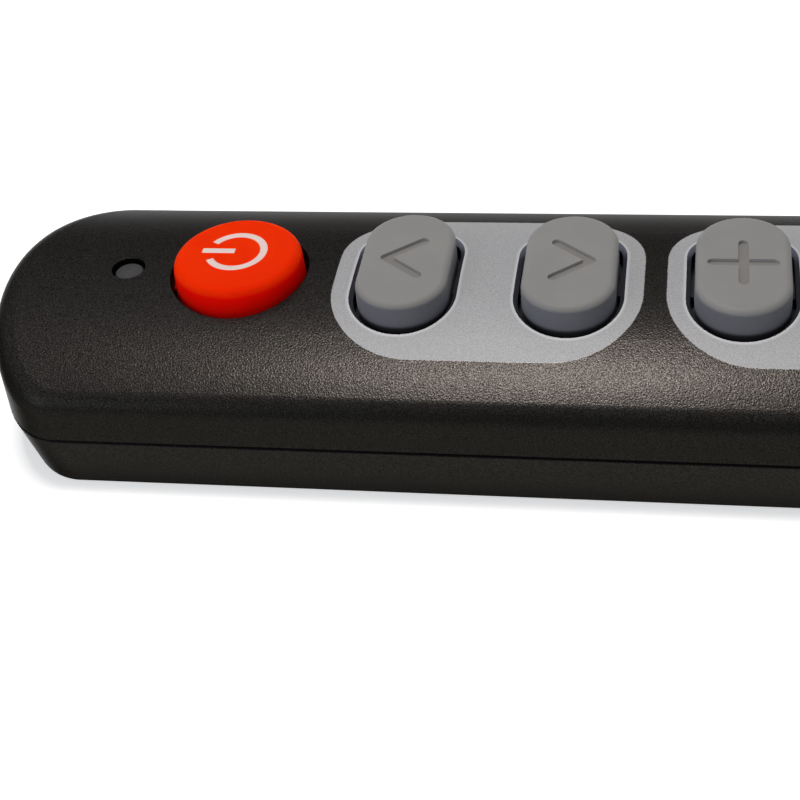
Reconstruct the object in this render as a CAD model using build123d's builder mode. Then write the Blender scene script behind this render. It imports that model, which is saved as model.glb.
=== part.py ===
from build123d import *
from math import atan2, degrees
import os

# Universal remote control lying on its back: two moulded half shells with a crowned top face,
# six large sprung keys, a silicone keypad, a circuit board, two AAA cells and a sliding door.
# Frame: origin under the middle of the case on the surface it lies on, +X towards the tail,
# the infrared end at -X, +Z up out of the keys. Millimetres.

# Case, outside
body_length = 151.0
body_width = 41.0
parting_height = 6.4
end_depth = 10.9
crown_radius = 44.0
rim_radius = 3.3
bottom_edge_radius = 0.3
top_side_inset = 0.6
top_end_inset = 0.05
bottom_side_inset = 0.1
bottom_end_inset = 1.8
parting_chamfer = 0.25
quarter_turn = 90.0
half_turn = 180.0

# Case, inside
shell_wall = 1.6
lip_inset = 0.9
lip_height = 1.2
lip_clearance = 0.05
overrun = 5.0

# Keys
key_place_shares = (0.2013, 0.3377, 0.4662, 0.5967, 0.7252, 0.8616)
round_key_diameter = 16.0
round_key_rise = 2.4
round_key_edge = 1.2
round_key_draft = 3.0
round_key_gap = 0.3
round_opening_bevel = 0.25
slot_key_width = 10.9
slot_key_length = 18.8
slot_key_rise = 2.2
slot_key_edge = 0.85
slot_key_draft = 0.5
slot_key_gap = 0.45
slot_opening_bevel = 0.5
key_travel = 0.8
key_tab_width = 3.0
key_tab_reach = 1.2
key_tab_thickness = 0.5
crown_above_tabs = 1.85

# Marks sunk into the key tops
mark_depth = 0.4
mark_stroke = 1.2
chevron_reach = 4.2
chevron_height = 6.8
chevron_shift = 0.3
plus_width = 7.0
plus_height = 7.4
speaker_box = 2.0
speaker_neck = 2.2
speaker_mouth = 6.0
speaker_length = 4.2
slash_length = 8.4
slash_gap = 0.5
slash_turn = 45.0

# Cells and battery bay
cell_diameter = 10.5
cell_length = 44.5
cell_edge = 0.5
nub_diameter = 3.6
nub_length = 1.0
cell_spacing = 0.6
cell_clearance = 0.1
contact_thickness = 0.4
contact_width = 8.4
contact_height = 8.0
contact_tab_width = 3.0
spring_length = 4.2
spring_wire = 0.6
spring_pitch = 1.75
spring_wire_sides = 6
spring_base_radius = 3.2
spring_cone_angle = -12.0
seat_gap = 0.05
bay_wall = 1.2
bay_roof = 0.5
bay_side_room = 0.1
bay_from_tail = 10.8

# Battery door
door_thickness = 1.2
door_side_margin = 2.0
door_tongue = 0.85
door_tongue_thickness = 0.6
door_clearance = 0.05
door_front_margin = 0.5
rail_width = 3.0
rail_height = 2.8
latch_width = 2.4
latch_reach = 2.5
latch_thickness = 0.8
latch_root = 1.4
latch_gap = 0.05
latch_room = 0.3
grip_width = 13.0
grip_rib = 0.8
grip_pitch = 2.0
grip_depth = 0.4
grip_count = 5
grip_from_front = 9.0

# Circuit board and keypad
board_thickness = 0.8
board_width = 25.0
board_front_margin = 10.0
board_rear_margin = 12.5
board_corner = 3.0
mat_thickness = 0.4
mat_width = 22.4
mat_end_reach = 7.0
mat_hole_margin = 0.3
dome_base_radius = 3.6
dome_top_radius = 2.4
dome_wall = 0.5
dome_recess_radius = 4.2
dome_recess_height = 0.55
pill_radius = 1.5
pill_thickness = 0.4

# Indicator and infrared parts
indicator_from_power = 14.1
indicator_hole = 4.2
indicator_lens = 3.5
indicator_flange = 4.6
indicator_flange_height = 1.0
indicator_recess = 0.5
indicator_edge = 0.15
infrared_height = 10.2
emitter_diameter = 5.0
emitter_length = 8.6
emitter_flange = 5.8
receiver_diameter = 3.0
receiver_length = 5.3
receiver_flange = 3.8
receiver_offset = 8.0
diode_flange_thickness = 1.0
diode_recess = 0.3
diode_hole_clearance = 0.1
lead_width = 0.5
lead_spacing = 2.54
lead_run = 5.0

# Components under the board, placed by their shares of the room ahead of the battery bay
controller_length = 12.8
controller_width = 7.5
controller_height = 2.3
memory_length = 4.9
memory_width = 3.9
memory_height = 1.5
driver_share = 0.19
controller_share = 0.42
memory_share = 0.62
middle_post_share = 0.75
crystal_share = 0.86
memory_offset = 6.0
chip_standoff = 0.1
pin_width = 0.4
pin_reach = 1.2
pin_thickness = 0.25
pin_pitch = 1.27
controller_pins = 10
memory_pins = 4
crystal_length = 11.2
crystal_width = 4.7
crystal_height = 3.6
crystal_flange = 0.4
capacitor_diameter = 5.0
capacitor_length = 7.0
capacitor_edge = 0.4
capacitor_offset = 6.0
transistor_radius = 2.3
transistor_depth = 3.5
transistor_height = 4.6
transistor_leg = 1.0
transistor_pitch = 1.27
transistor_offset = 5.0
resistor_length = 1.6
resistor_width = 0.8
resistor_height = 0.45
resistor_pitch = 2.6
resistor_count = 6
resistor_offset = 7.5

# Bosses, posts and screws
boss_radius = 2.5
case_screw_offset = 9.0
case_screw_from_tail = 6.4
case_screw_length = 8.0
case_screw_radius = 1.1
case_screw_head_radius = 2.0
case_screw_head = 1.4
shelf_thickness = 2.8
head_room = 0.05
board_boss_radius = 1.3
board_screw_length = 3.2
board_screw_radius = 0.7
board_screw_head_radius = 1.4
board_screw_head = 1.1
cross_length = 1.9
cross_width = 0.6
cross_depth = 0.6
screw_clearance = 0.05
post_radius = 1.7
post_offset = 9.5
front_post_from_tip = 14.0
rib_thickness = 1.0
cradle_from_tip = 6.0
cradle_width = 9.0

# Heights from the underside up
door_top = door_thickness
door_room_top = door_top + door_clearance
cell_axis_height = door_top + cell_clearance + cell_diameter / 2
bay_ceiling = cell_axis_height + cell_diameter / 2 + cell_clearance
board_bottom = bay_ceiling + bay_roof
board_top = board_bottom + board_thickness
mat_top = board_top + mat_thickness
key_base = mat_top + key_travel + seat_gap
key_tab_top = key_base + key_tab_thickness
dome_top = key_base + dome_recess_height
dome_ceiling = dome_top - dome_wall
pill_bottom = dome_ceiling - pill_thickness
shelf_top = door_room_top + shelf_thickness
body_height = key_tab_top + crown_above_tabs
slot_key_top = body_height + slot_key_rise
round_key_top = body_height + round_key_rise

# Places along the case
tip_x = -body_length / 2
tail_x = body_length / 2
all_key_places = [tip_x + share * body_length for share in key_place_shares]
power_x, channel_up_x, channel_down_x, volume_up_x, volume_down_x, mute_x = all_key_places
slot_key_places = (channel_up_x, channel_down_x, volume_up_x, volume_down_x)
round_key_places = (power_x, mute_x)
indicator_x = power_x - indicator_from_power
bay_end_x = tail_x - bay_from_tail
bay_length = cell_length + spring_length + 2 * contact_thickness
bay_start_x = bay_end_x - bay_length
cell_y = (cell_diameter + cell_spacing) / 2
bay_half_width = cell_y + cell_diameter / 2 + bay_side_room
door_width = 2 * (bay_half_width + door_side_margin)
door_start_x = bay_start_x - bay_wall - door_front_margin
door_opening_width = door_width + 2 * door_clearance
groove_width = door_opening_width + 2 * door_tongue
board_start_x = tip_x + board_front_margin
board_end_x = tail_x - board_rear_margin
case_screw_x = tail_x - case_screw_from_tail
slot_reach = slot_key_width / 2 + key_tab_reach
round_reach = round_key_diameter / 2 + key_tab_reach
front_board_screw_x = (channel_up_x + channel_down_x) / 2
rear_board_screw_x = (volume_up_x + volume_down_x) / 2
front_post_x = tip_x + front_post_from_tip
component_room = bay_start_x - bay_wall - front_post_x
driver_x = front_post_x + driver_share * component_room
memory_x = front_post_x + memory_share * component_room
controller_x = front_post_x + controller_share * component_room
crystal_x = front_post_x + crystal_share * component_room
middle_post_x = front_post_x + middle_post_share * component_room
resistor_x = driver_x + capacitor_length

os.makedirs("parts", exist_ok=True)


def write(part, name):
    part.label = name
    export_step(part, "parts/" + name + ".step")


def plan_outline(inset, end_inset=0, side_inset=0):
    """Case outline in plan, inside a sketch: straight sides closed by half ellipses."""
    depth = end_depth - inset
    half_width = body_width / 2 - inset - side_inset
    straight = body_length / 2 - inset - end_inset - depth
    with BuildLine() as outline:
        Line((-straight, -half_width), (straight, -half_width))
        EllipticalCenterArc((straight, 0), depth, half_width, -quarter_turn, arc_size=half_turn)
        Line((straight, half_width), (-straight, half_width))
        EllipticalCenterArc((-straight, 0), depth, half_width, quarter_turn, arc_size=half_turn)
    make_face(outline.edges())


def parting_bevel(height):
    """Rim that leans in at 45 degrees to the parting line from a height above or below it."""
    with BuildPart(mode=Mode.PRIVATE) as rim:
        with BuildSketch(Plane.XY.offset(parting_height)):
            plan_outline(abs(height))
        with BuildSketch(Plane.XY.offset(parting_height + height)):
            plan_outline(0)
        loft()
    return rim.part


def upper_form(inset, bevel=0):
    """Upper half of the case, drawn in by inset: drafted sides under a crowned top."""
    with BuildPart(mode=Mode.PRIVATE) as form:
        with BuildSketch(Plane.XY.offset(parting_height + bevel)):
            plan_outline(inset)
        with BuildSketch(Plane.XY.offset(body_height)):
            plan_outline(inset, top_end_inset, top_side_inset)
        loft()
        with BuildSketch(Plane.YZ):
            with Locations((0, body_height - crown_radius)):
                Circle(crown_radius - inset)
        extrude(amount=body_length, both=True, mode=Mode.INTERSECT)
        crown = form.faces().filter_by(GeomType.CYLINDER).sort_by(SortBy.AREA)[-1]
        fillet(crown.edges(), rim_radius - inset)
        if bevel:
            add(parting_bevel(bevel))
    return form.part


def lower_form(inset, bevel=0):
    """Lower half of the case, drawn in by inset: sides that lean in to a flat underside."""
    with BuildPart(mode=Mode.PRIVATE) as form:
        with BuildSketch(Plane.XY.offset(inset)):
            plan_outline(inset, bottom_end_inset, bottom_side_inset)
        with BuildSketch(Plane.XY.offset(parting_height - bevel)):
            plan_outline(inset)
        loft()
        if inset < bottom_edge_radius:
            fillet(form.faces().sort_by(Axis.Z)[0].edges(), bottom_edge_radius - inset)
        if bevel:
            add(parting_bevel(-bevel))
    return form.part


def slot_key_outline(grow=0):
    """Oblong key outline grown by a clearance, long way across the case."""
    SlotOverall(slot_key_length + 2 * grow, slot_key_width + 2 * grow, rotation=quarter_turn)


def round_key_outline(grow=0):
    Circle(round_key_diameter / 2 + grow)


def block(x_from, x_to, width, z_from, z_to, y=0, mode=Mode.ADD):
    """Square-edged rib, wall or cut between two places along the case and two heights."""
    with BuildSketch(Plane.XY.offset(z_from)) as outline:
        with Locations(((x_from + x_to) / 2, y)):
            Rectangle(x_to - x_from, width)
    extrude(outline.sketch, amount=z_to - z_from, mode=mode)


def round_post(places, radius, z_from, z_to, mode=Mode.ADD):
    """Round post or hole at each place, between two heights."""
    with BuildSketch(Plane.XY.offset(z_from)) as outline:
        with Locations(*places):
            Circle(radius)
    extrude(outline.sketch, amount=z_to - z_from, mode=mode)


# Upper shell: crowned, with six bevelled key openings and the indicator hole
case_screw_places = ((case_screw_x, case_screw_offset), (case_screw_x, -case_screw_offset))
board_screw_places = ((front_board_screw_x, 0), (rear_board_screw_x, 0))
case_screw_seat = door_room_top + head_room + case_screw_head
case_screw_tip = case_screw_seat + case_screw_length
board_screw_tip = board_bottom + board_screw_length

with BuildPart(mode=Mode.PRIVATE) as top_bosses:
    round_post(case_screw_places, boss_radius, shelf_top, body_height)
    round_post(board_screw_places, board_boss_radius, board_top, body_height)
    add(upper_form(shell_wall / 2), mode=Mode.INTERSECT)


with BuildPart() as top_shell:
    add(upper_form(0, parting_chamfer))
    add(upper_form(shell_wall), mode=Mode.SUBTRACT)
    with BuildSketch(Plane.XY.offset(parting_height)):
        plan_outline(lip_inset)
    extrude(amount=lip_height + lip_clearance, mode=Mode.SUBTRACT)
    with BuildSketch(Plane.XY.offset(board_top)):
        with Locations(*[(x, 0) for x in slot_key_places]):
            slot_key_outline(slot_key_gap)
        with Locations(*[(x, 0) for x in round_key_places]):
            round_key_outline(round_key_gap)
    extrude(amount=body_height, mode=Mode.SUBTRACT)
    crown_face = top_shell.faces().filter_by(GeomType.CYLINDER).sort_by(SortBy.AREA)[-1]
    slot_rims = crown_face.inner_wires().sort_by(Axis.X)[1:-1]
    chamfer([edge for rim in slot_rims for edge in rim.edges()], slot_opening_bevel)
    crown_face = top_shell.faces().filter_by(GeomType.CYLINDER).sort_by(SortBy.AREA)[-1]
    crown_rims = crown_face.inner_wires().sort_by(Axis.X)
    chamfer(crown_rims[0].edges() + crown_rims[-1].edges(), round_opening_bevel)
    round_post(((indicator_x, 0),), indicator_hole / 2, board_top, body_height + overrun, Mode.SUBTRACT)
    add(top_bosses.part)
    round_post(case_screw_places, case_screw_radius + screw_clearance, shelf_top,
               case_screw_tip + seat_gap, Mode.SUBTRACT)
    round_post(board_screw_places, board_screw_radius + screw_clearance, board_top,
               board_screw_tip + seat_gap, Mode.SUBTRACT)
    for side, diameter in ((0, emitter_diameter), (receiver_offset, receiver_diameter)):
        with BuildSketch(Plane.YZ.offset(tip_x - overrun)):
            with Locations((side, infrared_height)):
                Circle(diameter / 2 + diode_hole_clearance)
        extrude(amount=2 * overrun, mode=Mode.SUBTRACT)
write(top_shell.part, "top_shell")

# Lower shell: floor, bay for the cells, door rails, posts and the cradle of the emitter
with BuildPart(mode=Mode.PRIVATE) as rails:
    block(door_start_x, tail_x, groove_width + 2 * rail_width, door_room_top, rail_height)
    block(bay_start_x, bay_end_x, 2 * bay_half_width, door_room_top, rail_height, mode=Mode.SUBTRACT)
    block(bay_end_x, tail_x, groove_width + 2 * rail_width, door_room_top, shelf_top)
    add(lower_form(shell_wall / 2), mode=Mode.INTERSECT)

with BuildPart() as bottom_shell:
    add(lower_form(0, parting_chamfer))
    add(lower_form(shell_wall), mode=Mode.SUBTRACT)
    with BuildSketch(Plane.XY.offset(parting_height)):
        plan_outline(lip_inset + lip_clearance)
    extrude(amount=lip_height)
    with BuildSketch(Plane.XY.offset(parting_height)):
        plan_outline(shell_wall)
    extrude(amount=lip_height, mode=Mode.SUBTRACT)
    add(rails.part)
    block(bay_start_x - bay_wall, bay_end_x + bay_wall, 2 * (bay_half_width + bay_wall),
          door_room_top, board_bottom)
    block(bay_start_x, bay_end_x, 2 * bay_half_width, door_room_top, bay_ceiling, mode=Mode.SUBTRACT)
    for side in (-cell_y, cell_y):
        block(bay_start_x, bay_start_x + 2 * contact_thickness, contact_tab_width + 2 * bay_side_room,
              bay_ceiling, board_bottom, side, Mode.SUBTRACT)
    post_places = [(x, y) for x in (front_post_x, middle_post_x) for y in (-post_offset, post_offset)]
    round_post(post_places, post_radius, shell_wall / 2, board_bottom)
    rib_width = body_width / 2 - post_offset - shell_wall / 2
    for post_x, post_y in post_places:
        rib_y = post_y * (1 + rib_width / post_offset / 2)
        block(post_x - rib_thickness / 2, post_x + rib_thickness / 2, rib_width, shell_wall / 2,
              parting_height, rib_y)
    cradle_x = tip_x + cradle_from_tip
    block(cradle_x, cradle_x + rib_thickness, cradle_width, shell_wall / 2, infrared_height)
    with BuildSketch(Plane.YZ.offset(cradle_x - rib_thickness)):
        with Locations((0, infrared_height)):
            Circle(emitter_diameter / 2 + diode_hole_clearance)
    extrude(amount=3 * rib_thickness, mode=Mode.SUBTRACT)
    block(door_start_x, tail_x + overrun, door_opening_width, -overrun, door_room_top, mode=Mode.SUBTRACT)
    block(door_start_x, tail_x + overrun, groove_width, door_top - door_tongue_thickness - door_clearance,
          door_room_top, mode=Mode.SUBTRACT)
    block(door_start_x, bay_start_x, latch_width + 2 * latch_room, door_room_top, rail_height,
          mode=Mode.SUBTRACT)
    round_post(case_screw_places, case_screw_head_radius + screw_clearance, door_room_top,
               case_screw_seat, Mode.SUBTRACT)
    round_post(case_screw_places, case_screw_radius + screw_clearance, door_room_top, shelf_top,
               Mode.SUBTRACT)
    round_post(board_screw_places, board_screw_head_radius + screw_clearance,
               board_bottom - board_screw_head - screw_clearance, board_bottom, Mode.SUBTRACT)
write(bottom_shell.part, "bottom_shell")

# Battery door: a slice of the case's own underside with tongues along both edges, a latch and a grip
with BuildPart(mode=Mode.PRIVATE) as door_room:
    block(door_start_x + door_clearance, tail_x, door_width, 0, door_top)
    block(door_start_x + door_clearance, tail_x, door_width + 2 * door_tongue,
          door_top - door_tongue_thickness, door_top)

with BuildPart() as battery_door:
    add(lower_form(0))
    add(door_room.part, mode=Mode.INTERSECT)
    latch_floor = shell_wall + latch_gap
    latch_end_x = door_start_x + door_clearance + latch_root
    block(door_start_x + door_clearance, latch_end_x, latch_width, door_top, latch_floor + latch_thickness)
    block(door_start_x - latch_reach, latch_end_x, latch_width, latch_floor, latch_floor + latch_thickness)
    for rib in range(grip_count):
        grip_x = door_start_x + grip_from_front + rib * grip_pitch
        block(grip_x, grip_x + grip_rib, grip_width, 0, grip_depth, mode=Mode.SUBTRACT)
write(battery_door.part, "battery_door")


# Marks, drawn as they read with the infrared end of the remote held upwards
def stroke(start, end):
    """Round-ended line of the mark's own width between two points."""
    with Locations(((start[0] + end[0]) / 2, (start[1] + end[1]) / 2)):
        line = Vector(end[0] - start[0], end[1] - start[1])
        SlotCenterToCenter(line.length, mark_stroke, rotation=degrees(atan2(line.Y, line.X)))


def chevron_mark(direction):
    """V of two straight strokes whose point looks towards direction along the case."""
    tip = direction * (chevron_shift + chevron_reach / 2)
    tail = direction * (chevron_shift - chevron_reach / 2)
    for side in (-chevron_height / 2, chevron_height / 2):
        stroke((tail, side), (tip, 0))


def minus_mark():
    stroke((0, -plus_height / 2), (0, plus_height / 2))


def plus_mark():
    minus_mark()
    stroke((-plus_width / 2, 0), (plus_width / 2, 0))


def mute_mark():
    """Loudspeaker crossed out by a slanting stroke."""
    back = -speaker_length / 2
    neck, mouth = speaker_neck / 2, speaker_mouth / 2
    Polygon((-neck, back), (neck, back), (neck, back + speaker_box), (mouth, -back), (-mouth, -back),
            (-neck, back + speaker_box), align=None)
    SlotOverall(slash_length + 2 * slash_gap, mark_stroke + 2 * slash_gap, rotation=slash_turn,
                mode=Mode.SUBTRACT)
    SlotOverall(slash_length, mark_stroke, rotation=slash_turn)


def key_cap(x, outline, reach, top, edge, draft, mark=None):
    """Key with a softly rounded top, two holding tabs and a recess for the dome below it."""
    with BuildPart() as key:
        with BuildSketch(Plane.XY.offset(key_base)):
            with Locations((x, 0)):
                outline()
        extrude(amount=top - key_base, taper=draft)
        fillet(key.faces().sort_by(Axis.Z)[-1].edges(), edge)
        if mark:
            with BuildSketch(Plane.XY.offset(top - mark_depth)):
                with Locations((x, 0)):
                    mark()
            extrude(amount=mark_depth, mode=Mode.SUBTRACT)
        block(x - reach, x + reach, key_tab_width, key_base, key_tab_top)
        round_post(((x, 0),), dome_recess_radius, key_base, dome_top, Mode.SUBTRACT)
    return key.part


def contact_pill(x):
    """Carbon pill that closes the switch when the key above it goes down."""
    with BuildPart() as pill:
        round_post(((x, 0),), pill_radius, pill_bottom, dome_ceiling)
    return pill.part


keys = {
    "power": (power_x, round_key_outline, None),
    "channel_up": (channel_up_x, slot_key_outline, lambda: chevron_mark(-1)),
    "channel_down": (channel_down_x, slot_key_outline, lambda: chevron_mark(1)),
    "volume_up": (volume_up_x, slot_key_outline, plus_mark),
    "volume_down": (volume_down_x, slot_key_outline, minus_mark),
    "mute": (mute_x, round_key_outline, mute_mark),
}
for key_name, (key_x, key_outline, key_mark) in keys.items():
    if key_outline is round_key_outline:
        cap = key_cap(key_x, key_outline, round_reach, round_key_top, round_key_edge, round_key_draft,
                      key_mark)
    else:
        cap = key_cap(key_x, key_outline, slot_reach, slot_key_top, slot_key_edge, slot_key_draft,
                      key_mark)
    write(cap, "key_" + key_name)
    write(contact_pill(key_x), "contact_pill_" + key_name)

# Silicone keypad: a thin sheet with one hollow dome under each key
with BuildPart() as keypad_mat:
    block(power_x - mat_end_reach, mute_x + mat_end_reach, mat_width, board_top, mat_top)
    standing = (Align.CENTER, Align.CENTER, Align.MIN)
    with Locations(*[(x, 0, mat_top) for x in all_key_places]):
        Cone(dome_base_radius, dome_top_radius, dome_top - mat_top, align=standing)
    with Locations(*[(x, 0, board_top) for x in all_key_places]):
        Cone(dome_base_radius - dome_wall, dome_top_radius - dome_wall, dome_ceiling - board_top,
             align=standing, mode=Mode.SUBTRACT)
    round_post(board_screw_places, board_boss_radius + mat_hole_margin, board_top, mat_top, Mode.SUBTRACT)
write(keypad_mat.part, "keypad_mat")

# Circuit board
with BuildPart() as circuit_board:
    with BuildSketch(Plane.XY.offset(board_bottom)):
        with Locations(((board_start_x + board_end_x) / 2, 0)):
            RectangleRounded(board_end_x - board_start_x, board_width, board_corner)
    extrude(amount=board_thickness)
    round_post(board_screw_places, board_screw_radius + screw_clearance, board_bottom, board_top,
               Mode.SUBTRACT)
write(circuit_board.part, "circuit_board")

# Indicator: flat-topped lens standing on the board under its hole
with BuildPart() as indicator_led:
    round_post(((indicator_x, 0),), indicator_flange / 2, board_top, board_top + indicator_flange_height)
    round_post(((indicator_x, 0),), indicator_lens / 2, board_top, body_height - indicator_recess)
    chamfer(indicator_led.faces().sort_by(Axis.Z)[-1].edges(), indicator_edge)
write(indicator_led.part, "indicator_led")


def infrared_diode(y, diameter, length, flange):
    """Domed diode looking out of the end wall, with two leads bent up to the board."""
    wall_x = -(body_length / 2 - end_depth) - end_depth * (1 - (y / (body_width / 2)) ** 2) ** 0.5
    nose_x = wall_x + diode_recess
    back_x = nose_x + length
    lead_x = back_x + lead_run
    with BuildPart() as diode:
        with BuildSketch(Plane.YZ.offset(nose_x + diameter / 2)):
            with Locations((y, infrared_height)):
                Circle(diameter / 2)
        extrude(amount=length - diameter / 2)
        with Locations((nose_x + diameter / 2, y, infrared_height)):
            Sphere(diameter / 2)
        with BuildSketch(Plane.YZ.offset(back_x - diode_flange_thickness)):
            with Locations((y, infrared_height)):
                Circle(flange / 2)
        extrude(amount=diode_flange_thickness)
        for side in (-lead_spacing / 2, lead_spacing / 2):
            block(back_x, lead_x, lead_width, infrared_height - lead_width / 2,
                  infrared_height + lead_width / 2, y + side)
            block(lead_x - lead_width, lead_x, lead_width, infrared_height - lead_width / 2,
                  board_bottom, y + side)
    return diode.part


emitter = infrared_diode(0, emitter_diameter, emitter_length, emitter_flange)
write(emitter, "infrared_emitter")
receiver = infrared_diode(receiver_offset, receiver_diameter, receiver_length, receiver_flange)
write(receiver, "infrared_receiver")


def flat_chip(x, y, length, width, height, pins):
    """Small-outline package under the board with a row of flat pins along each side."""
    package_top = board_bottom - chip_standoff
    with BuildPart() as chip:
        block(x - length / 2, x + length / 2, width, package_top - height, package_top, y)
        for pin in range(pins):
            pin_x = x + (pin - (pins - 1) / 2) * pin_pitch
            block(pin_x - pin_width / 2, pin_x + pin_width / 2, width + 2 * pin_reach,
                  board_bottom - pin_thickness, board_bottom, y)
    return chip.part


controller = flat_chip(controller_x, 0, controller_length, controller_width, controller_height,
                       controller_pins)
write(controller, "controller_chip")
memory = flat_chip(memory_x, -memory_offset, memory_length, memory_width, memory_height, memory_pins)
write(memory, "memory_chip")

# Crystal: oblong can on a thin flange, long way across the case
with BuildPart() as crystal:
    for inset, height in ((0, crystal_flange), (crystal_flange, crystal_height)):
        with BuildSketch(Plane.XY.offset(board_bottom)):
            with Locations((crystal_x, 0)):
                SlotOverall(crystal_length - 2 * inset, crystal_width - 2 * inset, rotation=quarter_turn)
        extrude(amount=-height)
    chamfer(crystal.faces().sort_by(Axis.Z)[0].edges(), crystal_flange)
write(crystal.part, "crystal")

# Electrolytic capacitor lying against the board
with BuildPart() as capacitor:
    with BuildSketch(Plane.YZ.offset(driver_x - capacitor_length / 2)):
        with Locations((-capacitor_offset, board_bottom - capacitor_diameter / 2)):
            Circle(capacitor_diameter / 2)
    extrude(amount=capacitor_length)
    chamfer(capacitor.edges().filter_by(GeomType.CIRCLE), capacitor_edge)
write(capacitor.part, "capacitor")

# Driver transistor: round package with a flat, on three legs
with BuildPart() as transistor:
    package_top = board_bottom - transistor_leg
    with BuildSketch(Plane.XY.offset(package_top - transistor_height)):
        with Locations((driver_x, transistor_offset)):
            Circle(transistor_radius)
            with Locations((0, transistor_depth)):
                Rectangle(2 * transistor_radius, 2 * transistor_radius, mode=Mode.SUBTRACT)
    extrude(amount=transistor_height)
    for leg in (-transistor_pitch, 0, transistor_pitch):
        block(driver_x + leg - pin_width / 2, driver_x + leg + pin_width / 2, pin_width,
              package_top, board_bottom, transistor_offset)
write(transistor.part, "driver_transistor")

# Row of chip resistors
with BuildPart() as chip_resistors:
    for resistor in range(resistor_count):
        row_x = resistor_x + resistor * resistor_pitch
        block(row_x - resistor_width / 2, row_x + resistor_width / 2, resistor_length,
              board_bottom - resistor_height, board_bottom, resistor_offset)
write(chip_resistors.part, "chip_resistors")


def battery_cell(y, negative_x, direction):
    """AAA cell with its flat negative end at negative_x and its nub looking along direction."""
    with BuildPart() as cell:
        with BuildSketch(Plane.YZ.offset(negative_x)):
            with Locations((y, cell_axis_height)):
                Circle(cell_diameter / 2)
        extrude(amount=direction * (cell_length - nub_length))
        chamfer(cell.edges().filter_by(GeomType.CIRCLE), cell_edge)
        with BuildSketch(Plane.YZ.offset(negative_x)):
            with Locations((y, cell_axis_height)):
                Circle(nub_diameter / 2)
        extrude(amount=direction * cell_length)
    return cell.part


left_negative_x = bay_start_x + contact_thickness + spring_length
right_negative_x = bay_end_x - contact_thickness - spring_length
write(battery_cell(-cell_y, left_negative_x, 1), "battery_cell_left")
write(battery_cell(cell_y, right_negative_x, -1), "battery_cell_right")


def contact_spring(y, base_x, direction):
    """Tapered spring of round wire that presses on the flat end of a cell."""
    height = spring_length - spring_wire - 2 * seat_gap
    start = (base_x + direction * (spring_wire / 2 + seat_gap), y, cell_axis_height)
    with BuildPart() as spring:
        with BuildLine() as coil:
            Helix(spring_pitch, height, spring_base_radius, center=start, direction=(direction, 0, 0),
                  cone_angle=spring_cone_angle)
        with BuildSketch(Plane(origin=coil.line @ 0, z_dir=coil.line % 0)):
            RegularPolygon(spring_wire / 2, spring_wire_sides)
        sweep(path=coil.line, is_frenet=True)
    return spring.part


write(contact_spring(-cell_y, bay_start_x + contact_thickness, 1), "contact_spring_front")
write(contact_spring(cell_y, bay_end_x - contact_thickness, -1), "contact_spring_rear")

# Contact plates against the two end walls of the bay
contact_floor = cell_axis_height - contact_height / 2
for plate_name, plate_y in (("contact_plate_negative", -cell_y), ("contact_plate_positive", cell_y)):
    with BuildPart() as contact_plate:
        block(bay_start_x, bay_start_x + contact_thickness, contact_width, contact_floor,
              contact_floor + contact_height, plate_y)
        block(bay_start_x, bay_start_x + contact_thickness, contact_tab_width, contact_floor,
              board_bottom, plate_y)
    write(contact_plate.part, plate_name)
with BuildPart() as contact_bridge:
    block(bay_end_x - contact_thickness, bay_end_x, 2 * cell_y + contact_width, contact_floor,
          contact_floor + contact_height)
write(contact_bridge.part, "contact_bridge")


def cross_screws(places, seat, head_radius, head, radius, length):
    """Screws driven upwards, heads below the seat, with a cross recess in each head."""
    with BuildPart() as screws:
        round_post(places, head_radius, seat - head, seat)
        round_post(places, radius, seat, seat + length)
        for place_x, place_y in places:
            for length_x, length_y in ((cross_length, cross_width), (cross_width, cross_length)):
                block(place_x - length_x / 2, place_x + length_x / 2, length_y, seat - head,
                      seat - head + cross_depth, place_y, Mode.SUBTRACT)
    return screws.part


case_screws = cross_screws(case_screw_places, case_screw_seat, case_screw_head_radius, case_screw_head,
                           case_screw_radius, case_screw_length)
write(case_screws, "case_screws")
board_screws = cross_screws(board_screw_places, board_bottom, board_screw_head_radius, board_screw_head,
                            board_screw_radius, board_screw_length)
write(board_screws, "board_screws")
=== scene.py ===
import math
from functools import reduce

import bmesh
import bpy
from mathutils import Matrix, Vector

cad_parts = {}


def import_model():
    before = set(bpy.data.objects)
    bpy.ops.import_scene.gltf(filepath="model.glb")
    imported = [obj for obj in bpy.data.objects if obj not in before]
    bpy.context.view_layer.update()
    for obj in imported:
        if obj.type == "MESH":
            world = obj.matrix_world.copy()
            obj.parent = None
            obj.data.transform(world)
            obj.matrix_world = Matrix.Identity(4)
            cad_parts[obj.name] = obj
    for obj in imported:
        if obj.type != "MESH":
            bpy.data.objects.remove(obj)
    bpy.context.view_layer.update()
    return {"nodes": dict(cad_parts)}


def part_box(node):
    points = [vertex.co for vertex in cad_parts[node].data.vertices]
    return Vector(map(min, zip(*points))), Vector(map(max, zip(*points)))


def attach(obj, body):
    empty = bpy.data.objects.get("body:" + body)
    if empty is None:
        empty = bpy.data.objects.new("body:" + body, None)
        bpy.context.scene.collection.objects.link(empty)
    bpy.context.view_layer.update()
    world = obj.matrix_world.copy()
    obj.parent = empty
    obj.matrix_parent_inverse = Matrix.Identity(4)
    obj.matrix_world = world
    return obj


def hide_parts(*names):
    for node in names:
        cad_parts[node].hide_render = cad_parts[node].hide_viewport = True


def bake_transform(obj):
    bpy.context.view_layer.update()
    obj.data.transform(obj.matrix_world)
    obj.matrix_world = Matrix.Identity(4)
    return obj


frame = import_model()
NODES = frame["nodes"]
MM = 0.001


def middle(name):
    """Middle of a CAD node's box."""
    low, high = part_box(name)
    return (low + high) / 2


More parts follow.
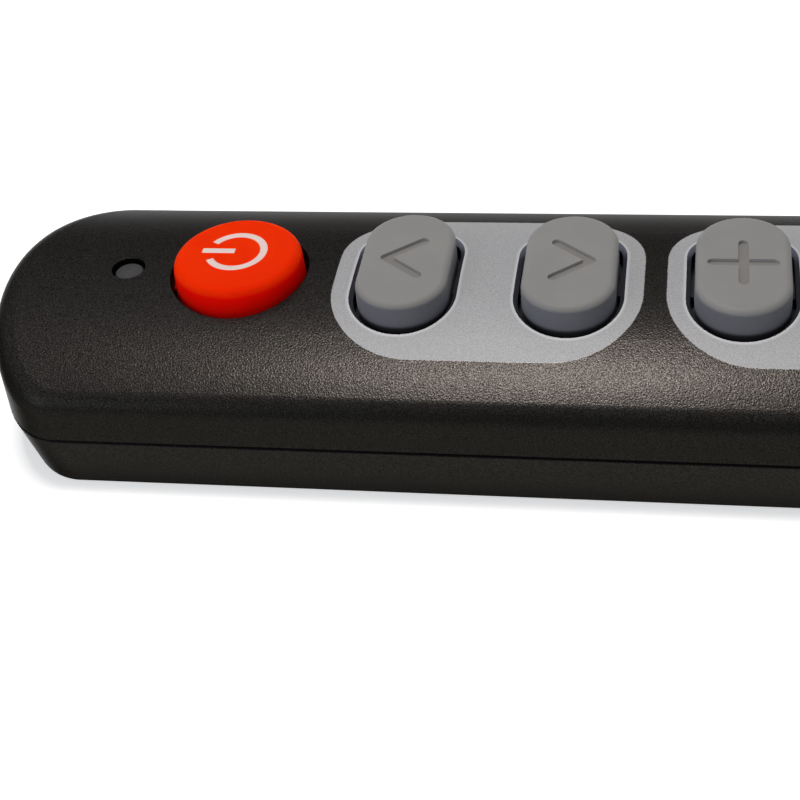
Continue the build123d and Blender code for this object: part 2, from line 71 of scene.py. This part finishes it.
# Places taken from the CAD nodes themselves
POWER, MUTE = middle("key_power"), middle("key_mute")
CHANNEL_UP, CHANNEL_DOWN = middle("key_channel_up"), middle("key_channel_down")
VOLUME_UP, VOLUME_DOWN = middle("key_volume_up"), middle("key_volume_down")
PAIRED_KEYS = (CHANNEL_UP, CHANNEL_DOWN, VOLUME_UP, VOLUME_DOWN)
PAIR_MIDDLES = ((CHANNEL_UP.x + CHANNEL_DOWN.x) / 2, (VOLUME_UP.x + VOLUME_DOWN.x) / 2)
KEY_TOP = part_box("key_channel_up")[1].z

# Camera fitted to the photograph, with angles in degrees
PHOTO_PIXELS = 800
FOCAL_PIXELS = 1615.05
SENSOR_MM = 36
VIEW_AZIMUTH, VIEW_ELEVATION, VIEW_ROLL = 13.148, 40.318, -6.912
VIEW_AIM = Vector((-21.854, -23.141, 16.8)) * MM
VIEW_DISTANCE = 0.174454

# Case: the joint between its halves, and how metallic and glossy its plastic and its paint are
JOINT_Z = 6.4 * MM
CASE_TINT = 0.44
CASE_METAL, SILVER_METAL = 0.88, 0.13
CASE_GLOSS, SILVER_GLOSS = 0.04, 0.2

# Silver fields and the openings in them, in plan: half sizes and corner radius
FIELD_HALF, FIELD_RADIUS = (18.25 * MM, 13.65 * MM), 10.4 * MM
OPENING_HALF, OPENING_RADIUS = (6.4 * MM, 10.35 * MM), 6.4 * MM

# Sunk marks of the grey keys: the area that holds them, and the height where a key's skirt starts
MARK_HALF, MARK_RADIUS = (4.4 * MM, 4.6 * MM), 1.0 * MM
# Below this height the keys are painted dark as shade
SKIRT_Z = 16.1 * MM

# Printed power mark: a ring with a gap, and a bar through the gap, on the key's crown
RING_CENTRE = (POWER.x - 0.15 * MM, POWER.y + 0.45 * MM)
RING_RADIUS, STROKE_HALF = 3.365 * MM, 0.44 * MM
GAP_SLOPE = 0.56
BAR_MIDDLE, BAR_HALF = (2.2 * MM, 0.1 * MM), (2.02 * MM, 0.465 * MM)
PRINT_SOFTNESS = 0.03 * MM

# Keypad: the sheet, the domes in it, and the holes round the board's two screw posts
SHEET_THICKNESS = 0.4 * MM
DOME_BASE, DOME_CROWN, DOME_WALL = 3.6 * MM, 2.4 * MM, 0.5 * MM
POST_HOLE = 1.6 * MM
CIRCLE_STEPS = 48
WELD_REACH = 0.001 * MM

# Softened edges of the keys
EDGE_WIDTH, EDGE_SEGMENTS, EDGE_ANGLE = 0.2 * MM, 3, math.radians(50)

# Floor: its reach, how far it lies under the case, and where its glow changes
FLOOR_REACH, FLOOR_DROP = 3.0, 0.05 * MM
GLOW_NEAR, GLOW_FAR = 0.2, 0.7


def place_camera():
    azimuth, elevation, roll = (
        math.radians(angle) for angle in (VIEW_AZIMUTH, VIEW_ELEVATION, VIEW_ROLL))
    back = Vector((math.sin(azimuth) * math.cos(elevation),
                   -math.cos(azimuth) * math.cos(elevation), math.sin(elevation)))
    right = Vector((math.cos(azimuth), math.sin(azimuth), 0))
    up = back.cross(right)
    side = math.cos(roll) * right + math.sin(roll) * up
    top = -math.sin(roll) * right + math.cos(roll) * up
    data = bpy.data.cameras.new("photo_camera")
    data.sensor_width = SENSOR_MM
    data.lens = FOCAL_PIXELS / PHOTO_PIXELS * SENSOR_MM
    data.clip_start, data.clip_end = 0.005, 20
    camera = bpy.data.objects.new("photo_camera", data)
    bpy.context.scene.collection.objects.link(camera)
    turn = Matrix((side, top, back)).transposed().to_4x4()
    camera.matrix_world = Matrix.Translation(VIEW_AIM + back * VIEW_DISTANCE) @ turn
    bpy.context.scene.camera = camera


class Shade:
    """A node material with short calls for the sums, noises and masks used below."""

    def __init__(self, name, rough=0.5, specular=0.5, metal=0.0):
        self.mat = bpy.data.materials.new(name)
        self.mat.use_nodes = True
        self.tree = self.mat.node_tree
        self.shader = self.tree.nodes["Principled BSDF"]
        self.set("Roughness", rough)
        self.set("Specular IOR Level", specular)
        self.set("Metallic", metal)
        self.set("IOR", 1.5)
        self.place = self.tree.nodes.new("ShaderNodeTexCoord").outputs["Object"]
        self.x, self.y, self.z = self.split(self.place)
        normal = self.tree.nodes.new("ShaderNodeNewGeometry").outputs["Normal"]
        self.facing_up = self.split(normal)[2]

    def split(self, vector):
        node = self.tree.nodes.new("ShaderNodeSeparateXYZ")
        self.tree.links.new(vector, node.inputs[0])
        return node.outputs

    def put(self, value, socket):
        """Links a node's output to the socket, or sets the socket to a plain value."""
        if hasattr(value, "is_output"):
            self.tree.links.new(value, socket)
        else:
            socket.default_value = value

    def set(self, socket, value):
        """Puts a value on a socket of the shader."""
        self.put(value, self.shader.inputs[socket])

    def compute(self, operation, *values):
        node = self.tree.nodes.new("ShaderNodeMath")
        node.operation = operation
        for value, socket in zip(values, node.inputs):
            self.put(value, socket)
        return node.outputs[0]

    def plus(self, one, other):
        return self.compute("ADD", one, other)

    def minus(self, one, other):
        return self.compute("SUBTRACT", one, other)

    def times(self, one, other):
        return self.compute("MULTIPLY", one, other)

    def least(self, one, other):
        return self.compute("MINIMUM", one, other)

    def most(self, one, other):
        return self.compute("MAXIMUM", one, other)

    def off(self, value, target):
        """How far a value is from its target, without sign."""
        return self.compute("ABSOLUTE", self.minus(value, target))

    def length(self, one, other):
        """Length of a flat vector from its two parts."""
        return self.compute("SQRT", self.plus(self.times(one, one), self.times(other, other)))

    def ramp(self, value, start, end, low=0.0, high=1.0):
        """Value turned smoothly from low at start to high at end."""
        node = self.tree.nodes.new("ShaderNodeMapRange")
        node.interpolation_type = "SMOOTHSTEP"
        self.put(value, node.inputs["Value"])
        limits = {"From Min": start, "From Max": end, "To Min": low, "To Max": high}
        for socket, limit in limits.items():
            self.put(limit, node.inputs[socket])
        return node.outputs[0]

    def noise(self, size, detail=2.0, rough=0.5, stretch=(1, 1, 1), seed=0.0):
        """Noise whose lumps are about size metres across."""
        mapping = self.tree.nodes.new("ShaderNodeMapping")
        mapping.inputs["Scale"].default_value = stretch
        mapping.inputs["Location"].default_value = (seed, seed * 0.37, seed * 0.73)
        self.tree.links.new(self.place, mapping.inputs["Vector"])
        node = self.tree.nodes.new("ShaderNodeTexNoise")
        node.inputs["Scale"].default_value = 1 / size
        node.inputs["Detail"].default_value = detail
        node.inputs["Roughness"].default_value = rough
        self.tree.links.new(mapping.outputs[0], node.inputs["Vector"])
        return node.outputs["Fac"]

    def cells(self, size, feature="F1"):
        """Distance within irregular cells about size metres across."""
        node = self.tree.nodes.new("ShaderNodeTexVoronoi")
        node.feature = feature
        node.inputs["Scale"].default_value = 1 / size
        self.tree.links.new(self.place, node.inputs["Vector"])
        return node.outputs["Distance"]

    def mix(self, factor, one, other):
        """One colour at factor 0, the other at factor 1."""
        node = self.tree.nodes.new("ShaderNodeMix")
        node.data_type = "RGBA"
        self.put(factor, node.inputs["Factor"])
        first, second = (socket for socket in node.inputs if socket.type == "RGBA")
        self.put(one, first)
        self.put(other, second)
        return next(socket for socket in node.outputs if socket.type == "RGBA")

    def bump(self, height, depth, strength=1.0):
        node = self.tree.nodes.new("ShaderNodeBump")
        node.inputs["Distance"].default_value = depth
        self.put(strength, node.inputs["Strength"])
        self.put(height, node.inputs["Height"])
        self.set("Normal", node.outputs[0])

    def box_distance(self, centre, half, radius):
        """Distance outside a rounded rectangle in plan, negative inside it."""
        past_x = self.minus(self.off(self.x, centre[0]), half[0] - radius)
        past_y = self.minus(self.off(self.y, centre[1]), half[1] - radius)
        outside = self.length(self.most(past_x, 0.0), self.most(past_y, 0.0))
        inside = self.least(self.most(past_x, past_y), 0.0)
        return self.minus(self.plus(outside, inside), radius)

    def nearest(self, centres, half, radius):
        """Distance to the nearest of several equal rounded rectangles."""
        return reduce(self.least, [self.box_distance(centre, half, radius) for centre in centres])

    def round_distance(self, centre):
        """Distance from a point in plan."""
        return self.length(self.minus(self.x, centre[0]), self.minus(self.y, centre[1]))


def tone(*rgb):
    """Colour given as it looks on a screen, 0 to 255, as the linear value that renders so."""
    linear = (((c / 255 + 0.055) / 1.055) ** 2.4 if c > 10 else c / 255 / 12.92 for c in rgb)
    return (*linear, 1)


def silver_fields(s, colour):
    """Mask of the sprayed fields, and their colour with painted light and shade at the openings."""
    ragged = s.times(s.minus(s.noise(0.16 * MM, 2, 0.6), 0.5), 0.22 * MM)
    field = s.nearest([(x, 0) for x in PAIR_MIDDLES], FIELD_HALF, FIELD_RADIUS)
    inside = s.ramp(s.plus(field, ragged), 0.05 * MM, -0.05 * MM)
    inside = s.times(inside, s.ramp(s.facing_up, 0.8, 0.88))
    inside = s.times(inside, s.ramp(s.z, 13.6 * MM, 14.2 * MM))
    lip = s.nearest(PAIRED_KEYS, OPENING_HALF, OPENING_RADIUS)
    spray = s.ramp(s.noise(0.16 * MM, 2, 0.7, seed=7.7), 0.3, 0.7)
    silver = s.mix(spray, tone(137, 137, 139), tone(158, 158, 160))
    # Painted highlight: a lighter ring of silver along the openings' edges
    silver = s.mix(s.ramp(lip, 0.45 * MM, 0.15 * MM), silver, tone(172, 172, 175))
    # Painted shade: the openings' inward-facing bevels take a darker bluish grey
    bevel = s.times(s.ramp(lip, 0.7 * MM, 0.5 * MM), s.ramp(s.facing_up, 0.82, 0.76))
    bevel = s.times(bevel, s.ramp(s.facing_up, 0.3, 0.5))
    return inside, s.mix(bevel, s.mix(inside, colour, silver), tone(108, 110, 121))


def case_material(name, side_shading_low, side_shading_high, sprayed=False):
    """Charcoal plastic filled with fine flakes, in a spark-eroded grain."""
    s = Shade(name)
    s.set("Specular Tint", (CASE_TINT, CASE_TINT, CASE_TINT, 1))
    # Painted light and shade: the top, rim and side take lit and shaded tones by facing
    flakes = s.ramp(s.noise(0.13 * MM, 1, 0.5, seed=3.1), 0.35, 0.7)
    top = s.mix(flakes, tone(22, 21, 20), tone(52, 49, 47))
    shaded_rim = s.mix(flakes, tone(18, 17, 16), tone(32, 31, 29))
    side = s.mix(flakes, side_shading_low, side_shading_high)
    colour = s.mix(s.ramp(s.facing_up, 0.1, 0.5), side, shaded_rim)
    colour = s.mix(s.ramp(s.facing_up, 0.55, 0.95), colour, top)
    joint = s.ramp(s.off(s.z, JOINT_Z), 0.28 * MM, 0.12 * MM)
    colour = s.mix(joint, colour, tone(9, 9, 9))
    rough = s.ramp(s.noise(0.17 * MM, 2, 0.6), 0.3, 0.7, 0.28, 0.31)
    metal, gloss, strength = CASE_METAL, CASE_GLOSS, 1.0
    if sprayed:
        inside, colour = silver_fields(s, colour)
        rough = s.plus(rough, s.times(inside, 0.2))
        metal = s.ramp(inside, 0.0, 1.0, CASE_METAL, SILVER_METAL)
        gloss = s.ramp(inside, 0.0, 1.0, CASE_GLOSS, SILVER_GLOSS)
        strength = s.ramp(inside, 0.0, 1.0, 1.0, 0.4)
    s.set("Base Color", colour)
    s.set("Roughness", rough)
    s.set("Metallic", metal)
    s.set("Specular IOR Level", gloss)
    s.bump(s.cells(0.2 * MM, "SMOOTH_F1"), 0.022 * MM, strength)
    return s.mat


def silicone(name, light, shade, fleck, wall_shading, specular=0.18):
    """Moulded silicone: matt, with a fine tooth, a few stray specks, and painted light and shade on
    its sides.

    Gives the material and its colour, for marks to be laid on.
    """
    s = Shade(name, specular=specular)
    tooth = s.noise(0.16 * MM, 2, 0.6)
    base = s.mix(s.ramp(s.noise(5 * MM, 2, 0.5), 0.3, 0.7), light, shade)
    specks = s.ramp(s.cells(2.6 * MM), 0.05, 0.035)
    base = s.mix(s.times(specks, 0.5), base, fleck)
    # Painted light and shade: faces that turn away from upright take the wall tone
    base = s.mix(s.ramp(s.facing_up, 0.55, 0.1), base, wall_shading)
    s.set("Base Color", base)
    s.set("Roughness", s.ramp(tooth, 0.3, 0.7, 0.5, 0.62))
    s.set("Sheen Weight", 0.05)
    s.bump(tooth, 0.03 * MM, 0.5)
    return s, base


def grey_key_material():
    """Grey silicone: painted shade in the sunk marks and on the skirt, a painted highlight on
    brinks.
    """
    s, base = silicone("grey_silicone", tone(126, 125, 123), tone(123, 122, 121),
                       tone(96, 96, 98), tone(110, 111, 117))
    marks = s.ramp(s.nearest((*PAIRED_KEYS, MUTE), MARK_HALF, MARK_RADIUS), 0.0, -0.3 * MM)
    # Painted shade: the floors of the sunk marks are darker
    sunk = s.times(marks, s.ramp(s.z, KEY_TOP - 0.12 * MM, KEY_TOP - 0.2 * MM))
    base = s.mix(s.times(sunk, 0.9), base, tone(114, 111, 109))
    # Painted highlight: the steep brinks of the marks are lighter
    brink_highlight = s.times(marks, s.ramp(s.facing_up, 0.8, 0.3))
    base = s.mix(brink_highlight, base, tone(166, 164, 162))
    # Painted shade: below the skirt height the key is dark, where it sits in the gap under the case
    skirt = s.ramp(s.z, SKIRT_Z, SKIRT_Z - 0.6 * MM)
    s.set("Base Color", s.mix(skirt, base, tone(34, 34, 36)))
    return s.mat


def power_material():
    """Red silicone that light soaks into, with the power mark printed on its crown."""
    s, base = silicone("red_silicone", tone(226, 42, 0), tone(223, 38, 0),
                       tone(255, 120, 80), tone(250, 14, 2), specular=0.01)
    s.set("Sheen Weight", 0.0)
    s.set("Subsurface Weight", 1.0)
    s.set("Subsurface Radius", (1.0, 0.12, 0.05))
    s.set("Subsurface Scale", 5 * MM)
    # Ring open towards the infrared end, which is where dx grows
    stroke = s.off(s.round_distance(RING_CENTRE), RING_RADIUS)
    ink = s.ramp(stroke, STROKE_HALF + PRINT_SOFTNESS, STROKE_HALF - PRINT_SOFTNESS)
    dx = s.minus(RING_CENTRE[0], s.x)
    dy = s.minus(s.y, RING_CENTRE[1])
    gap = s.minus(s.compute("ABSOLUTE", dy), s.times(dx, GAP_SLOPE))
    ink = s.times(ink, s.ramp(gap, -PRINT_SOFTNESS, PRINT_SOFTNESS))
    # Bar through the opening
    bar = s.most(s.minus(s.off(dx, BAR_MIDDLE[0]), BAR_HALF[0]),
                 s.minus(s.off(dy, BAR_MIDDLE[1]), BAR_HALF[1]))
    ink = s.most(ink, s.ramp(bar, PRINT_SOFTNESS, -PRINT_SOFTNESS))
    # Only the crown is printed
    ink = s.times(ink, s.ramp(s.facing_up, 0.9, 0.97))
    ink = s.times(ink, s.ramp(s.z, 18.5 * MM, 19 * MM))
    s.set("Base Color", s.mix(ink, base, tone(214, 195, 189)))
    return s.mat


def plain(name, light, shade, rough, specular=0.5, metal=0.0, size=0.4, depth=0.01,
          stretch=(1, 1, 1)):
    """Moulded, plated or rolled stuff whose two tones meet in a fine noise of size mm."""
    s = Shade(name, specular=specular, metal=metal)
    grain = s.noise(size * MM, 3, 0.6, stretch)
    s.set("Base Color", s.mix(s.ramp(grain, 0.3, 0.7), light, shade))
    s.set("Roughness", s.ramp(grain, 0.25, 0.75, max(rough - 0.08, 0.03), rough + 0.08))
    s.bump(grain, depth * MM, 0.5)
    return s.mat


def board_material():
    """Green solder mask with paler tracks under it."""
    s = Shade("green_board", rough=0.35)
    tracks = s.ramp(s.cells(2.4 * MM, "DISTANCE_TO_EDGE"), 0.09, 0.06)
    weave = s.noise(0.5 * MM, 2, 0.5)
    base = s.mix(s.ramp(weave, 0.3, 0.7), tone(18, 84, 46), tone(14, 72, 40))
    s.set("Base Color", s.mix(s.times(tracks, 0.6), base, tone(44, 128, 70)))
    s.bump(s.plus(tracks, s.times(weave, 0.2)), 0.03 * MM, 0.6)
    return s.mat


def cell_material(name, negative_x, positive_x):
    """Printed sleeve: dark body, pale band near the positive end, bare steel ends."""
    s = Shade(name, rough=0.3, metal=0.6)
    along = s.compute("DIVIDE", s.minus(s.x, negative_x), positive_x - negative_x)
    grain = s.noise(0.5 * MM, 2, 0.5, (0.05, 1, 1))
    streaks = s.ramp(grain, 0.3, 0.7)
    body = s.mix(streaks, tone(36, 58, 96), tone(44, 68, 108))
    band = s.mix(streaks, tone(196, 200, 206), tone(176, 180, 188))
    base = s.mix(s.ramp(along, 0.72, 0.724), body, band)
    base = s.mix(s.ramp(along, 0.76, 0.764), base, body)
    steel = s.mix(grain, tone(200, 198, 194), tone(168, 166, 162))
    ends = s.most(s.ramp(along, 0.006, 0.003), s.ramp(along, 0.972, 0.976))
    s.set("Base Color", s.mix(ends, base, steel))
    s.bump(grain, 0.01 * MM, 0.3)
    return s.mat


def cell_materials():
    """Sleeves of the two cells, which lie head to tail."""
    left_low, left_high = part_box("battery_cell_left")
    right_low, right_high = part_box("battery_cell_right")
    return {"battery_cell_left": cell_material("cell_sleeve_left", left_low.x, left_high.x),
            "battery_cell_right": cell_material("cell_sleeve_right", right_high.x, right_low.x)}


def chosen_materials(sheet):
    """Material of each CAD node that isn't a grey key."""
    top = case_material("charcoal_case_top", tone(24, 23, 21), tone(38, 36, 33), sprayed=True)
    under = case_material("charcoal_case", tone(29, 28, 26), tone(44, 42, 39))
    black = plain("black_epoxy", tone(32, 32, 34), tone(24, 24, 26), 0.55, size=0.3, depth=0.02)
    steel = plain("bright_steel", tone(196, 196, 194), tone(170, 170, 168), 0.28, metal=1.0,
                  size=0.6, depth=0.004, stretch=(1, 1, 0.08))
    zinc = plain("zinc_screws", tone(132, 132, 134), tone(104, 104, 106), 0.36, metal=1.0, size=0.3)
    can = plain("can_aluminium", tone(204, 204, 206), tone(182, 182, 184), 0.32, metal=1.0,
                size=0.5, depth=0.006)
    pill = plain("carbon_pill", tone(30, 30, 32), tone(20, 20, 22), 0.7, 0.2, size=0.2, depth=0.02)
    resin = plain("infrared_resin", tone(34, 26, 40), tone(22, 18, 30), 0.12, size=1.0, depth=0.004)
    lens = plain("indicator_lens", tone(58, 57, 58), tone(52, 51, 53), 0.42, 0.1, size=0.5)
    chosen = {"top_shell": top, "key_power": power_material(), "keypad_mat": sheet,
              "circuit_board": board_material(), "indicator_led": lens, **cell_materials()}
    shared = (
        (under, ("bottom_shell", "battery_door")),
        (resin, ("infrared_emitter", "infrared_receiver")),
        (black, ("controller_chip", "memory_chip", "driver_transistor", "chip_resistors")),
        (can, ("crystal", "capacitor")),
        (steel, ("contact_plate_negative", "contact_plate_positive", "contact_bridge",
                 "contact_spring_front", "contact_spring_rear")),
        (zinc, ("case_screws", "board_screws")),
        (pill, [name for name in NODES if name.startswith("contact_pill")]),
    )
    for material, names in shared:
        chosen.update(dict.fromkeys(names, material))
    return chosen


def soften_edges(node):
    """Rounds a moulded key's edges, whose faces are joined first so that the bevel finds them."""
    node.modifiers.new("joined_faces", "WELD").merge_threshold = WELD_REACH
    soft = node.modifiers.new("soft_edges", "BEVEL")
    soft.width = EDGE_WIDTH
    soft.segments = EDGE_SEGMENTS
    soft.limit_method = "ANGLE"
    soft.angle_limit = EDGE_ANGLE


def dress(sheet):
    """Gives every CAD node its material, and every key soft edges."""
    grey = grey_key_material()
    chosen = chosen_materials(sheet)
    for name, node in NODES.items():
        node.data.materials.clear()
        node.data.materials.append(chosen.get(name, grey))
        for polygon in node.data.polygons:
            polygon.material_index = 0
        if name.startswith("key_"):
            soften_edges(node)


def circle(x, radius):
    """Points of a circle about a place on the middle line."""
    turns = (step * math.tau / CIRCLE_STEPS for step in range(CIRCLE_STEPS))
    return [(x + radius * math.cos(turn), radius * math.sin(turn)) for turn in turns]


def turned_mesh(name, x, profile):
    """Closed mesh turned about the upright line at x, from (radius, height) points."""
    shape = bmesh.new()
    rings = []
    for radius, z in profile:
        outline = circle(x, radius) if radius else [(x, 0)]
        rings.append([shape.verts.new((px, py, z)) for px, py in outline])
    for one, other in zip(rings, rings[1:]):
        for i in range(max(len(one), len(other))):
            corners = (one[i % len(one)], one[(i + 1) % len(one)],
                       other[(i + 1) % len(other)], other[i % len(other)])
            # At a pole two corners are the same point, and the face is a triangle
            shape.faces.new(list(dict.fromkeys(corners)))
    bmesh.ops.recalc_face_normals(shape, faces=shape.faces)
    mesh = bpy.data.meshes.new(name)
    shape.to_mesh(mesh)
    shape.free()
    return mesh


def pierced_sheet(name, low, high, holes):
    """Flat plate between two corners with round holes of (x, radius) on its middle line."""
    curve = bpy.data.curves.new(name, "CURVE")
    curve.dimensions = "2D"
    curve.fill_mode = "BOTH"
    curve.extrude = (high.z - low.z) / 2
    edge = [(low.x, low.y), (high.x, low.y), (high.x, high.y), (low.x, high.y)]
    for loop in [edge] + [circle(x, radius) for x, radius in holes]:
        spline = curve.splines.new("POLY")
        spline.points.add(len(loop) - 1)
        for point, (px, py) in zip(spline.points, loop):
            point.co = (px, py, 0, 1)
        spline.use_cyclic_u = True
    carrier = bpy.data.objects.new(name + "_curve", curve)
    mesh = bpy.data.meshes.new_from_object(carrier)
    bpy.data.objects.remove(carrier)
    shape = bmesh.new()
    shape.from_mesh(mesh)
    bmesh.ops.remove_doubles(shape, verts=shape.verts, dist=WELD_REACH)
    bmesh.ops.translate(shape, verts=shape.verts, vec=(0, 0, (low.z + high.z) / 2))
    bmesh.ops.recalc_face_normals(shape, faces=shape.faces)
    shape.to_mesh(mesh)
    shape.free()
    return mesh


def add_piece(name, mesh, material):
    """Piece of the keypad, which stands for the CAD node."""
    piece = bpy.data.objects.new(name, mesh)
    bpy.context.scene.collection.objects.link(piece)
    mesh.materials.append(material)
    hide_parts("keypad_mat")
    return piece


def keypad(material):
    """Sheet with one hollow dome under each key."""
    low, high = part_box("keypad_mat")
    sheet_top = low.z + SHEET_THICKNESS
    keys = {"power": POWER, "channel_up": CHANNEL_UP, "channel_down": CHANNEL_DOWN,
            "volume_up": VOLUME_UP, "volume_down": VOLUME_DOWN, "mute": MUTE}
    holes = [(key.x, DOME_BASE) for key in keys.values()]
    holes += [(x, POST_HOLE) for x in PAIR_MIDDLES]
    plate = pierced_sheet("keypad_sheet", low, Vector((high.x, high.y, sheet_top)), holes)
    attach(add_piece("keypad_sheet", plate, material), "case")
    for name, key in keys.items():
        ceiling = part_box("contact_pill_" + name)[1].z
        profile = [(0, high.z), (DOME_CROWN, high.z), (DOME_BASE, sheet_top), (DOME_BASE, low.z),
                   (DOME_BASE - DOME_WALL, low.z), (DOME_CROWN - DOME_WALL, ceiling), (0, ceiling)]
        mesh = turned_mesh("keypad_dome_" + name, key.x, profile)
        dome = add_piece("keypad_dome_" + name, mesh, material)
        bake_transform(dome)


def seen_rays(tree):
    """1 for the rays that show the background: to the camera, by reflection and through glass."""
    path = tree.nodes.new("ShaderNodeLightPath").outputs
    total = path["Is Camera Ray"]
    for kind in ("Is Glossy Ray", "Is Transmission Ray"):
        node = tree.nodes.new("ShaderNodeMath")
        node.operation = "MAXIMUM"
        tree.links.new(total, node.inputs[0])
        tree.links.new(path[kind], node.inputs[1])
        total = node.outputs[0]
    return total


def floor():
    """Plain pale floor that looks white but still takes the shadow of the remote."""
    mesh = bpy.data.meshes.new("floor")
    corners = [(x * FLOOR_REACH, y * FLOOR_REACH, 0)
               for x, y in ((-1, -1), (1, -1), (1, 1), (-1, 1))]
    mesh.from_pydata(corners, [], [(0, 1, 2, 3)])
    plane = bpy.data.objects.new("floor", mesh)
    plane.location.z = -FLOOR_DROP
    bpy.context.scene.collection.objects.link(plane)
    s = Shade("pale_floor", rough=0.9, specular=0.1)
    s.set("Base Color", s.mix(s.noise(0.2, 2), tone(232, 232, 232), tone(236, 236, 236)))
    s.set("Emission Color", (1, 1, 1, 1))
    glow = s.ramp(s.round_distance((0, 0)), GLOW_NEAR, GLOW_FAR, 0.5, 0.8)
    s.set("Emission Strength", s.times(seen_rays(s.tree), glow))
    mesh.materials.append(s.mat)


def world():
    """Soft cool daylight, which is white only where it is seen."""
    sky = bpy.data.worlds.new("studio")
    bpy.context.scene.world = sky
    sky.use_nodes = True
    tree = sky.node_tree
    background = tree.nodes["Background"]
    background.inputs["Color"].default_value = (0.93, 0.96, 1.0, 1)
    level = tree.nodes.new("ShaderNodeMapRange")
    level.inputs["To Min"].default_value = 0.27
    level.inputs["To Max"].default_value = 1.0
    tree.links.new(seen_rays(tree), level.inputs["Value"])
    tree.links.new(level.outputs[0], background.inputs["Strength"])


def lamp(name, place, aim, size, power, colour):
    data = bpy.data.lights.new(name, "AREA")
    data.shape = "RECTANGLE"
    data.size, data.size_y = size
    data.energy = power
    data.color = colour
    item = bpy.data.objects.new(name, data)
    bpy.context.scene.collection.objects.link(item)
    item.location = place
    item.rotation_euler = (Vector(aim) - Vector(place)).to_track_quat("-Z", "Y").to_euler()


place_camera()
SHEET_SILICONE = silicone("sheet_silicone", tone(50, 50, 52), tone(44, 44, 46),
                          tone(66, 66, 68), tone(44, 44, 46))[0].mat
dress(SHEET_SILICONE)
keypad(SHEET_SILICONE)
bpy.context.scene.view_settings.view_transform = "Standard"
floor()
world()
lamp("softbox_above", (-0.05, 0.085, 0.56), (0.0, 0.0, 0.01), (0.18, 0.11), 2.3, (1.0, 0.96, 0.92))
lamp("fill_front_left", (-0.42, -0.42, 0.25), (-0.04, 0.0, 0.01), (0.4, 0.3), 0.95,
     (0.86, 0.92, 1.0))
